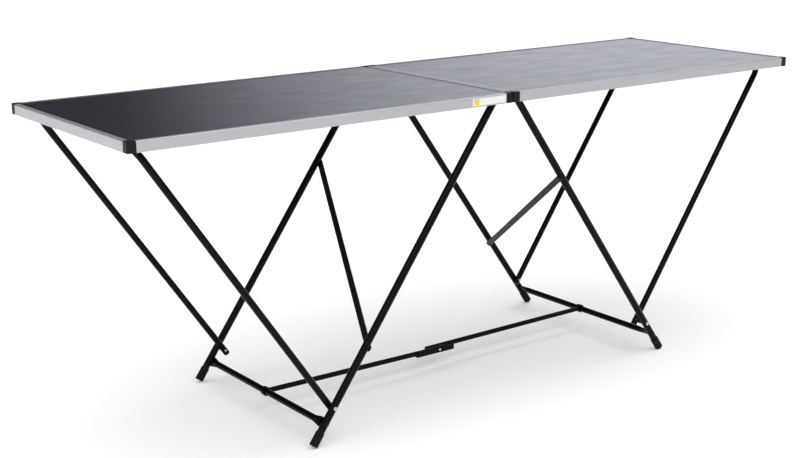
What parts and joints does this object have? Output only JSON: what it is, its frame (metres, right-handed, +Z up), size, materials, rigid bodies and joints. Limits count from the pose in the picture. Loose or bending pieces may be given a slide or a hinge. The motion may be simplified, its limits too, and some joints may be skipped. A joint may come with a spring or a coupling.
{
  "type": "folding pasting table",
  "caption": "Long folding trestle table with two aluminium-rimmed panels hinged at a seam, on crossed black tube legs.",
  "frame": {"origin": "centre of the footprint on the floor, under the seam", "axes": "+X along the long side towards the right panel, +Y towards the back edge, +Z up"},
  "size_m": [2.0012, 0.6012, 0.7704],
  "materials": {
    "laminate": "satin laminate",
    "rim": "satin anodised",
    "plastic": "moulded",
    "foot": "moulded",
    "black_tube": "gloss powder coat",
    "black_bar": "powder coat",
    "zinc": "zinc plated",
    "label": "blank label"
  },
  "bodies": {
    "left_top": {"left_board": "laminate", "left_front_rim": "rim", "left_back_rim": "rim", "left_end_rim": "rim", "left_seam_rim": "rim", "left_corner_caps": "plastic", "left_pivot_brackets": "zinc", "left_pivot_bolts": "zinc", "left_bow_clips": "plastic", "left_clip_screws": "zinc", "left_hinge_leaves": "zinc", "hinge_pins": "zinc", "rim_label": "label"},
    "left_legs": {"left_front_leg": "black_tube", "left_back_leg": "black_tube", "left_front_foot": "foot", "left_back_foot": "foot", "left_leg_plugs": "plastic", "left_crossbar": "black_tube", "left_crossbar_rivets": "zinc", "left_brace": "black_bar", "left_brace_rivets": "zinc", "left_leg_studs": "zinc", "left_stud_spacer": "plastic"},
    "left_bow": {"left_bow": "black_tube", "left_bow_plugs": "plastic", "left_bow_rivets": "zinc"},
    "left_stretcher": {"left_stretcher": "black_tube", "left_stretcher_eye": "black_bar", "knee_bracket": "black_bar", "knee_bolt": "zinc"},
    "right_top": {"right_board": "laminate", "right_front_rim": "rim", "right_back_rim": "rim", "right_end_rim": "rim", "right_seam_rim": "rim", "right_corner_caps": "plastic", "right_pivot_brackets": "zinc", "right_pivot_bolts": "zinc", "right_bow_clips": "plastic", "right_clip_screws": "zinc", "right_hinge_leaves": "zinc"},
    "right_legs": {"right_front_leg": "black_tube", "right_back_leg": "black_tube", "right_front_foot": "foot", "right_back_foot": "foot", "right_leg_plugs": "plastic", "right_crossbar": "black_tube", "right_crossbar_rivets": "zinc", "right_brace": "black_bar", "right_brace_rivets": "zinc", "right_leg_studs": "zinc", "right_stud_spacer": "plastic"},
    "right_bow": {"right_bow": "black_tube", "right_bow_plugs": "plastic", "right_bow_rivets": "zinc"},
    "right_stretcher": {"right_stretcher": "black_tube", "right_stretcher_eye": "black_bar"}
  },
  "joints": [
    {"name": "table_fold", "type": "hinge", "parent": "left_top", "child": "right_top", "pos_m": [0, 0, 0.7428], "axis": [0, 1, 0], "range_deg": [0, 120]},
    {"name": "left_leg_fold", "type": "hinge", "parent": "left_top", "child": "left_legs", "pos_m": [-0.032, 0, 0.754], "axis": [0, 1, 0], "range_deg": [0, 46.4]},
    {"name": "right_leg_fold", "type": "hinge", "parent": "right_top", "child": "right_legs", "pos_m": [0.032, 0, 0.754], "axis": [0, -1, 0], "range_deg": [0, 46.4]},
    {"name": "left_bow_fold", "type": "hinge", "parent": "left_top", "child": "left_bow", "pos_m": [-0.97, 0, 0.755], "axis": [0, -1, 0], "range_deg": [0, 19.4]},
    {"name": "right_bow_fold", "type": "hinge", "parent": "right_top", "child": "right_bow", "pos_m": [0.97, 0, 0.755], "axis": [0, 1, 0], "range_deg": [0, 19.4]},
    {"name": "left_knee_fold", "type": "hinge", "parent": "left_legs", "child": "left_stretcher", "pos_m": [-0.53231, 0, 0.05258], "axis": [0, -1, 0], "range_deg": [0, 46.4]},
    {"name": "right_knee_fold", "type": "hinge", "parent": "right_legs", "child": "right_stretcher", "pos_m": [0.53231, 0, 0.05258], "axis": [0, 1, 0], "range_deg": [0, 46.4]}
  ],
  "couplings": [
    {"joint": "left_leg_fold", "follows": "table_fold", "ratio": 0.385},
    {"joint": "right_leg_fold", "follows": "table_fold", "ratio": 0.385},
    {"joint": "left_bow_fold", "follows": "table_fold", "ratio": 0.16},
    {"joint": "right_bow_fold", "follows": "table_fold", "ratio": 0.16},
    {"joint": "left_knee_fold", "follows": "table_fold", "ratio": 0.385},
    {"joint": "right_knee_fold", "follows": "table_fold", "ratio": 0.385}
  ]
}
